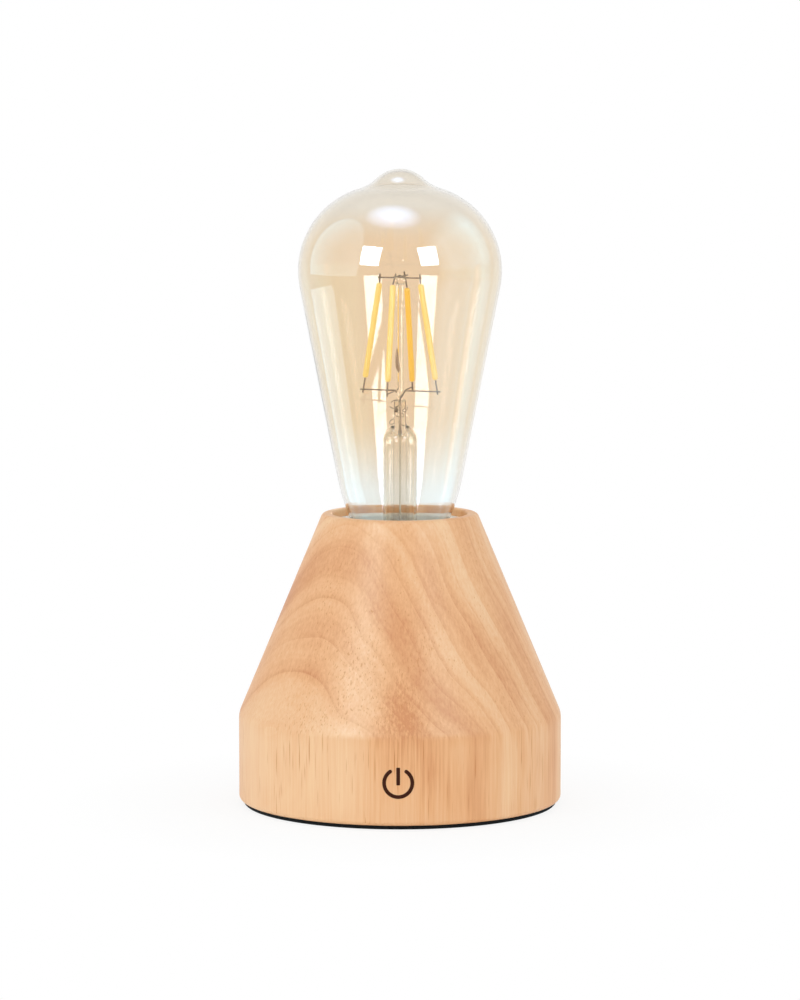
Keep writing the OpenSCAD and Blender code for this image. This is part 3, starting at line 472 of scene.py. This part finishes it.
def blob(bm, centre, radii, rows=16, segments=24):
    """A melted drop: an ellipsoid, thicker at its lower end."""
    rings = []
    for i in range(rows + 1):
        a = pi * i / rows
        w = sin(a) * (1.0 - 0.22 * cos(a))
        spokes = [(w * cos(b), w * sin(b), cos(a)) for b in turns(segments if 0 < i < rows else 1)]
        rings.append([bm.verts.new((Vector(centre) + Vector(radii) * Vector(s)) * MM) for s in spokes])
    bridge(bm, rings)


# ---------------------------------------------------------------- the bulb's glass
def glass_outline(t):
    """The bulb's outline, t inside its outer face, from the top on the axis down to the neck's end."""
    dome = Vector((0.0, BULB_L - DOME_R))
    shoulder = Vector((GLASS_D / 2 - SHOULDER_R, BELLY_Z))
    gap = shoulder - dome
    to_dome, to_shoulder = DOME_R + FILLET_R, SHOULDER_R + FILLET_R
    along = (gap.length_squared + to_dome ** 2 - to_shoulder ** 2) / (2 * gap.length)
    up = sqrt(to_dome ** 2 - along ** 2)
    fillet = dome + along * gap.normalized() + up * Vector((-gap.y, gap.x)).normalized()
    dome_a = degrees(atan2(fillet.y - dome.y, fillet.x - dome.x))
    shoulder_a = degrees(atan2(fillet.y - shoulder.y, fillet.x - shoulder.x))
    taper = Vector((cos(radians(TAPER)), -sin(radians(TAPER))))
    start = shoulder + SHOULDER_R * taper
    bend = start - (start.y - BEND_Z) * Vector((tan(radians(TAPER)), 1))
    centre = bend - BEND_R * taper
    neck_a = degrees(acos((NECK_D / 2 - t - centre.x) / (BEND_R - t)))
    points = arc(dome, DOME_R - t, 90, dome_a, 16)
    points += arc(fillet, FILLET_R + t, dome_a - 180, shoulder_a - 180, 10)[1:]
    points += arc(shoulder, SHOULDER_R - t, shoulder_a, -TAPER, 48)[1:]
    points += arc(centre, BEND_R - t, -TAPER, -neck_a, 16)
    points.append((NECK_D / 2 - t, NECK_END_Z))
    return [(0.0 if i == 0 else x, z + TIP_Z) for i, (x, z) in enumerate(points)]


def add_glass(material):
    profile = glass_outline(0.0) + glass_outline(GLASS_T)[::-1]
    new_object("bulb_envelope", lathe(profile, 256), material, "bulb", ["bulb_glass"], 30)


# ---------------------------------------------------------------- the power sign
def on_front(u, v, proud):
    """A point of the base's straight front, u to the right of its middle and v above the floor."""
    a = u / BASE_R
    r = BASE_R + proud
    return Vector((r * sin(a), -r * cos(a), v)) * MM


def printed(outlines, proud=0.05, sunk=0.2):
    """Raised flat shapes on the front: each outline is two equal rows of (u, v) points."""
    bm = bmesh.new()
    for inner, outer in outlines:
        rows = [[bm.verts.new(on_front(u, v, d)) for u, v in row]
                for row, d in ((inner, -sunk), (inner, proud), (outer, proud), (outer, -sunk))]
        for i in range(len(inner) - 1):
            for a, b in zip(rows, rows[1:] + rows[:1]):
                bm.faces.new((a[i], a[i + 1], b[i + 1], b[i]))
        for i in (0, -1):
            bm.faces.new([row[i] for row in rows])
    return bm


def add_sign(material):
    """The power sign printed on the front: an open ring and a bar with round ends."""
    middle = -0.55              # a little to the left of the base's middle
    ring_r = 4.32
    half = 0.57                 # half the stroke's width
    soft = 0.26                 # radius of the corners at the stroke's ends
    low, high = 117.5, 422.5    # angles of the ring's ends
    bottom, top = TOUCH_Z - 0.7, TOUCH_Z + 4.8
    steps = 64

    def width(end):
        """Half the stroke's width, at a distance from its end."""
        return half if end >= soft else half - soft + sqrt(max(0.0, soft ** 2 - (soft - end) ** 2))

    inner, outer = [], []
    for i in range(steps + 1):
        a = radians(low + (high - low) * i / steps)
        w = width(min(i, steps - i) * (high - low) / steps * pi / 180 * ring_r)
        for row, r in ((inner, ring_r - w), (outer, ring_r + w)):
            row.append((middle + r * cos(a), TOUCH_Z + r * sin(a)))
    left, right = [], []
    for i in range(steps + 1):
        v = bottom + (top - bottom) * i / steps
        w = width(min(v - bottom, top - v))
        left.append((middle - w, v))
        right.append((middle + w, v))
    new_object("power_sign", printed([(inner, outer), (left, right)]), material, "base")


# ---------------------------------------------------------------- details of the stem
def add_press_curls(metal):
    """What is left of sealing the leads: a dark bead on the front wire and curled wire ends on the press."""
    wire_r, press_y, steps = 0.12, -2.35, 28
    # Each curl's place across, its height above the tip, its radius, tilt and turns, and its first angle
    curls = ((-1.6, 69.9, 1.6, 0.3, 0.85, 3.4), (-0.2, 66.7, 0.95, -0.4, 0.9, 0.4),
             (1.4, 68.3, 0.9, 0.6, 0.8, 2.2), (-2.3, 64.4, 1.0, 0.5, 0.8, 1.0),
             (0.9, 63.9, 1.1, -0.5, 0.75, 2.8))
    bm = bmesh.new()
    blob(bm, (-0.8, -2.2, TIP_Z + 68.2), (0.55, 0.42, 0.8))
    for x, h, r, tilt, rounds, start in curls:
        angles = (start + rounds * 2 * pi * i / steps for i in range(steps + 1))
        route = [(x + r * cos(a), press_y + 0.2 * r * sin(a),
                  TIP_Z + h + r * (sin(a) + tilt * cos(a)) * 0.75) for a in angles]
        wire(bm, route, wire_r, 6)
    new_object("press_curls", bm, metal, "bulb")


def add_rod_smear(material):
    """The brownish smear on the support rod, as the photo shows it."""
    bm = bmesh.new()
    blob(bm, (-0.95, -0.95, TIP_Z + 84.0), (0.5, 0.3, 3.4))
    blob(bm, (-0.55, -1.15, TIP_Z + 81.4), (0.4, 0.25, 1.7))
    new_object("rod_smear", bm, material, "bulb")


# ---------------------------------------------------------------- rolled threads
def thread_wave(theta, z, z_crest):
    """0 on the crest of the thread and 1 in its groove. The crest passes +Y at the height z_crest."""
    turn = (z - z_crest) / PITCH - (theta - pi / 2) / (2 * pi)
    return 0.5 - 0.5 * cos(2 * pi * turn)


def eased(x, a, b):
    """0 below a and 1 above b, without a kink."""
    u = min(1.0, max(0.0, (x - a) / (b - a)))
    return u * u * (3 - 2 * u)


def threaded(profile, depth, z_crest, segments=96, step=0.3):
    """A turned sheet with a rolled thread: depth gives how far the groove goes in at each height."""
    fine = []
    for (r0, z0), (r1, z1) in zip(profile, profile[1:] + profile[:1]):
        n = max(1, int(abs(z1 - z0) / step))
        fine += [(r0 + (r1 - r0) * i / n, z0 + (z1 - z0) * i / n) for i in range(n)]
    bm = bmesh.new()
    rings = [[corner(bm, r - depth(z) * thread_wave(a, z, z_crest), a, z) for a in turns(segments)]
             for r, z in fine]
    bridge(bm, rings + rings[:1])
    return bm


def add_threaded_cap(metal):
    """The bulb's cap, turned in at its lower end. Its groove deepens in two steps and fades below the rim."""
    low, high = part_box("bulb_cap")
    r, z0, z1 = high.x / MM, low.z / MM, high.z / MM
    sheet, rim, bend = 0.3, 0.5, 1.0
    lip = r - 1.85
    centre = (r - bend, z0 + bend)
    cap = [(lip, z0)] + arc(centre, bend, -90, 0, 6) + [(r, z1 - rim), (r, z1), (r - sheet, z1)]
    cap += arc(centre, bend - sheet, 0, -90, 6) + [(lip, z0 + sheet)]

    def depth(z):
        h = z - TIP_Z
        return (0.5 * eased(h, 5.9, 6.6) + 0.4 * eased(h, 7.9, 8.9)) * (1 - eased(h, 17.6, 19.5))

    new_object("threaded_cap", threaded(cap, depth, CREST_Z), metal, "bulb", ["bulb_cap"], 50)


def add_threaded_shell(metal):
    """The lampholder's shell. Its groove lies where the cap's thread has a crest and fades at both ends."""
    low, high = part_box("screw_shell")
    r, z0, z1 = high.x / MM, low.z / MM, high.z / MM
    sheet = 0.4
    lip = r - sheet - 1.5
    shell = [(lip, z0), (r, z0), (r, z1), (r - sheet, z1), (r - sheet, z0 + sheet), (lip, z0 + sheet)]

    def depth(z):
        return 0.3 * eased(z, z0 + 3.4, z0 + 4.4) * (1 - eased(z, z1 - 3.0, z1 - 1.4))

    new_object("threaded_shell", threaded(shell, depth, CREST_Z - PITCH / 2), metal, "base",
               ["screw_shell"], 50)


# ---------------------------------------------------------------- light and stage
def add_world():
    """A white studio. Diffuse light grows a little upwards, mirror images are dark in front and bright
    behind and above, and what is seen through glass is white, greyer above."""
    world = bpy.data.worlds.new("studio")
    scene.world = world
    t = Tree("studio", world)
    ray = t.ray()
    place = t.add("TexCoord", out=0)
    back, up = t.part(place, 1), t.part(place, 2)
    plain = t.spread(up, -0.2, 0.9, 0.66, 0.84)
    mirrored = t.math("MAXIMUM", t.spread(back, 0.1, 0.75, 0.35, 1.0), t.spread(up, 0.35, 0.95, 0.35, 1.4))
    through = t.spread(up, 0.3, 0.75, 1.0, 0.55)
    strength = t.spread(ray["Is Glossy Ray"], 0.0, 1.0, plain, mirrored)
    strength = t.spread(ray["Is Transmission Ray"], 0.0, 1.0, strength, through)
    strength = t.spread(ray["Is Camera Ray"], 0.0, 1.0, strength, 1.0)
    t.finish(t.add("Background", Color=(1, 1, 1, 1), Strength=strength), "World")


def floor_material():
    """White where it is looked at, with a share of real shading near the lamp, and clear from below."""
    t = Tree("floor")
    ray = t.ray()
    seen = t.math("MAXIMUM", ray["Is Camera Ray"],
                  t.math("MAXIMUM", ray["Is Glossy Ray"], ray["Is Transmission Ray"]))
    away = t.vector("LENGTH", t.add("TexCoord", out=3), out=1)
    share = t.spread(away, 52 * MM, 110 * MM, 0.86, 1.0)
    lit = t.add("BsdfDiffuse", Color=(0.97, 0.97, 0.97, 1))
    white = t.add("Emission", Color=(1, 1, 1, 1), Strength=1.0)
    behind = t.add("NewGeometry", out=None).outputs["Backfacing"]
    shader = t.join(t.times(seen, share), lit, white)
    return t.finish(t.join(behind, shader, t.add("BsdfTransparent")))


def add_floor():
    """A pale floor, a little below the foot and open under it, so that the underside shows from below."""
    bm = bmesh.new()
    far, near, hole = 3000.0, 200.0, 47.0
    bridge(bm, [[corner(bm, r, a, 0.0) for a in turns(96)] for r in (far, near, hole)])
    mesh = bpy.data.meshes.new("floor")
    bm.to_mesh(mesh)
    bm.free()
    mesh.materials.append(floor_material())
    floor = bpy.data.objects.new("floor", mesh)
    floor.location.z = -0.2 * MM
    floor.visible_glossy = False
    scene.collection.objects.link(floor)


def direction(azimuth, elevation):
    """azimuth is 0 in front of the lamp and grows to its right; both in degrees."""
    a, e = radians(azimuth), radians(elevation)
    return Vector((sin(a) * cos(e), -cos(a) * cos(e), sin(e)))


def soft_light(name, azimuth, elevation, distance, side, radiance):
    """A square light that the camera and mirror images don't see."""
    target = Vector((0, 0, 120))
    data = bpy.data.lights.new(name, "AREA")
    data.shape, data.size, data.size_y = "RECTANGLE", side * MM, side * MM
    data.energy = radiance * pi * data.size * data.size_y
    obj = bpy.data.objects.new(name, data)
    scene.collection.objects.link(obj)
    aim(obj, target + distance * direction(azimuth, elevation), target)
    obj.visible_camera = obj.visible_glossy = obj.visible_transmission = False


def card_shape(t, half_w, half_h, form, blur):
    """1 in the card's middle and 0 at its border: a rectangle (window), an ellipse (oval) or the upper
    half of an ellipse (arch)."""
    place = t.vector("MULTIPLY", t.add("TexCoord", out=3), (1 / half_w, 1 / half_h, 0))
    if form == "window":
        across, up = (t.math("ABSOLUTE", t.part(place, axis)) for axis in (0, 1))
        return t.times(t.spread(across, 1 - blur, 1.0, 1.0, 0.0), t.spread(up, 1 - blur, 1.0, 1.0, 0.0))
    if form == "arch":
        place = t.vector("MULTIPLY", t.vector("ADD", place, (0, 1, 0)), (1, 0.5, 0))
    return t.spread(t.vector("LENGTH", place, out=1), 1 - blur, 1.0, 1.0, 0.0)


def card(name, azimuths, elevations, radiance, blur=0.1, colour=(1, 1, 1), form="window", plain=None):
    """A bright sheet that shows only in mirror images. It spans the given angles as seen from the bulb,
    and blur is the share of its half size over which its border fades. plain is its colour where the
    mirror image doesn't pass through glass."""
    away, bulb = 1500.0, Vector((0, 0, 165))
    half_w, half_h = (away * tan(radians((b - a) / 2)) * MM for a, b in (azimuths, elevations))
    bm = bmesh.new()
    corners = ((-1, -1), (1, -1), (1, 1), (-1, 1))
    bm.faces.new([bm.verts.new((x * half_w, y * half_h, 0)) for x, y in corners])
    mesh = bpy.data.meshes.new(name)
    bm.to_mesh(mesh)
    bm.free()
    t = Tree(name)
    inside = card_shape(t, half_w, half_h, form, blur)
    ray = t.ray()
    straight = t.times(ray["Is Transmission Ray"], t.math("LESS_THAN", ray["Glossy Depth"], 0.5))
    glow = colour + (1,)
    if plain:
        glow = t.blend(t.spread(ray["Transmission Depth"], 0.0, 1.0), plain + (1,), glow)
    shader = t.join(t.times(inside, t.minus(1.0, straight)), t.add("BsdfTransparent"),
                    t.add("Emission", Color=glow, Strength=radiance))
    mesh.materials.append(t.finish(shader))
    obj = bpy.data.objects.new(name, mesh)
    scene.collection.objects.link(obj)
    aim(obj, bulb + away * direction(sum(azimuths) / 2, sum(elevations) / 2), bulb)
    obj.visible_camera = obj.visible_diffuse = obj.visible_shadow = False


def add_lights():
    """Two soft lights, and the windows and pale walls that the photo's bulb mirrors."""
    pale, sky, wall = (0.62, 0.84, 1.3), (0.6, 0.84, 1.0), (0.46, 0.79, 1.0)
    left_plain, right_plain = (0.45, 0.78, 0.92), (0.3, 0.5, 0.55)
    soft_light("key", -38, 9, 1300, 700, 1.85)
    soft_light("fill", 55, 12, 1400, 800, 0.8)
    card("left_window", (-46.5, -24), (10, 35), 36.0, 0.1, pale, plain=left_plain)
    card("right_window", (23, 45), (10, 35), 36.0, 0.1, pale, plain=right_plain)
    card("overhead", (-60, -10), (60, 102), 9.0, 1.0, pale, "oval")
    card("left_panel", (-126, -45), (-4, 58), 2.2, 0.06, sky, "arch")
    card("left_table", (-128, -83), (-60, -13), 2.8, 0.06, sky)
    card("right_panel", (42, 130), (-8, 58), 3.3, 0.55, wall)
    card("right_low", (43, 128), (-58, 2), 3.4, 0.45, wall)
    card("right_strip", (90, 105), (-50, 15), 2.4, 0.8)


# ---------------------------------------------------------------- the lamp
def dress_base():
    dress(wood_material(), "wood_base")
    dress(plain_material("foot_foam", rgb(24, 22, 21), 0.9, grain=1.5, specular=0.1), "foot_pad")
    dress(plain_material("black_moulding", rgb(34, 33, 32), 0.75, grain=2.0, specular=0.08),
          "base_plate", "battery_door")
    dress(metal_material("zinc_screw", rgb(190, 190, 196), 0.3, 1.5),
          "plate_screws", "board_screws", "holder_screws")
    dress(cell_material("cell_right", 1.0), "battery_1", "battery_3")
    dress(cell_material("cell_left", -1.0), "battery_2")
    dress(metal_material("nickel_sheet", rgb(205, 205, 208), 0.28, 1.5),
          "battery_contacts", "battery_springs")
    dress(board_material(), "control_board")
    dress(plain_material("moulded_part", rgb(28, 28, 29), 0.5, grain=1.5), "board_parts")
    dress(metal_material("copper_foil", rgb(214, 140, 96), 0.3, 1.0), "touch_electrode")
    dress(plain_material("white_lead", rgb(236, 236, 230), 0.4), "touch_lead")
    dress(plain_material("red_lead", rgb(176, 28, 22), 0.4), "battery_lead_red", "lamp_lead_red")
    dress(plain_material("black_lead", rgb(24, 24, 25), 0.4), "battery_lead_black", "lamp_lead_black")


def dress_holder():
    white, cream = rgb(238, 237, 233), rgb(230, 229, 222)
    dress(plain_material("white_moulding", white, 0.35, grain=0.8, shade=0.04), "holder_shroud")
    dress(plain_material("cream_moulding", cream, 0.5, grain=0.8, shade=0.05), "holder_insert")
    dress(metal_material("spring_brass", rgb(218, 178, 104), 0.3, 1.0),
          "centre_contact", "side_contact", "terminal_screws")


def dress_bulb():
    dress(plain_material("black_glass", rgb(18, 18, 22), 0.12, grain=0.4), "cap_insulator")
    dress(metal_material("solder_tip", rgb(186, 186, 182), 0.38, 1.2), "cap_contact")
    dress(plain_material("cement", rgb(222, 218, 206), 0.9, grain=1.8), "cap_cement")
    dress(plain_material("resistor_lacquer", rgb(208, 176, 120), 0.35), "cap_resistor")
    leads = lead_material(rgb(128, 110, 88), rgb(188, 178, 156), TIP_Z + 61.0)
    dress(leads, "lead_wire_front", "lead_wire_back", "top_wires", "filament_pins")
    add_press_curls(leads)
    add_rod_smear(plain_material("smear", rgb(168, 140, 104), 0.5, grain=2.0))
    dress(glass_material("stem_glass", (0.985, 0.965, 0.92, 1), (0.86, 0.81, 0.70, 1), (0.35, 0.95)),
          "bulb_stem", "support_rod")
    dress(thin_glass_material("tube_glass", (0.72, 0.70, 0.64, 1)), "exhaust_tube")
    pale = filament_material("filament_pale", (1.0, 0.80, 0.24, 1))
    deep = filament_material("filament_deep", (1.0, 0.66, 0.07, 1))
    dress(deep, "filament_2")
    dress(pale, "filament_1", "filament_3", "filament_4")


add_camera()
add_world()
add_floor()
add_lights()
dress_base()
dress_holder()
add_threaded_cap(metal_material("rolled_cap", rgb(212, 211, 206), 0.25, 0.8))
add_threaded_shell(metal_material("shell_sheet", rgb(214, 208, 188), 0.25, 1.0))
dress_bulb()
add_glass(bulb_glass_material())
add_sign(plain_material("sign_print", rgb(66, 28, 8), 0.8, grain=2.0, specular=0.08))
